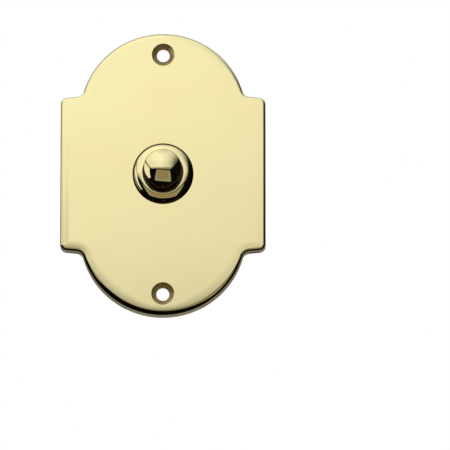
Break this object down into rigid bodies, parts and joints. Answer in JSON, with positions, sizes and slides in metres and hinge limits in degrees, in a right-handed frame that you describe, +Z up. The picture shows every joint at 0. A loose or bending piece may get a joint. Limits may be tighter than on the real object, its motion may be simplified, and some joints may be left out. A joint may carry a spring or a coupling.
{
  "type": "doorbell push button",
  "caption": "Wall-mounted bell push: a domed sprung button in a low rounded collar on an arched, shouldered brass plate with countersunk screw holes and a contact switch behind.",
  "frame": {"origin": "middle of the face plate on the wall face, midway between the wall screw holes", "axes": "+X to the visitor's right, +Z up, -Y out of the wall towards the visitor"},
  "size_m": [0.06, 0.0264, 0.084],
  "materials": {
    "polished_brass": "mirror polished",
    "turned_brass": "as turned",
    "plated_steel": "zinc plated",
    "spring_steel": "drawn wire",
    "moulded_base": "satin moulded",
    "pusher_nylon": "natural",
    "spring_bronze": "rolled strip",
    "silver_contact": "burnished"
  },
  "bodies": {
    "housing": {"face_plate": "polished_brass", "collar": "polished_brass", "collar_nut": "turned_brass", "terminal_screw_upper": "turned_brass", "terminal_screw_lower": "turned_brass", "terminal_washer_upper": "turned_brass", "terminal_washer_lower": "turned_brass", "terminal_nut_upper": "turned_brass", "terminal_nut_lower": "turned_brass", "fixed_contact": "turned_brass", "collar_lock_washer": "plated_steel", "base_screw_left": "plated_steel", "base_screw_right": "plated_steel", "base_washer_left": "plated_steel", "base_washer_right": "plated_steel", "return_spring": "spring_steel", "terminal_base": "moulded_base", "moving_contact": "spring_bronze", "moving_contact_tip": "silver_contact", "fixed_contact_tip": "silver_contact"},
    "button": {"push_knob": "polished_brass", "pusher": "pusher_nylon"}
  },
  "joints": [
    {"name": "button_press", "type": "slide", "parent": "housing", "child": "button", "axis": [0, 1, 0], "range_m": [0, 0.0015], "stiffness_N_per_m": 400, "springref_m": -0.006, "deforming": ["return_spring", "moving_contact", "moving_contact_tip"]}
  ]
}
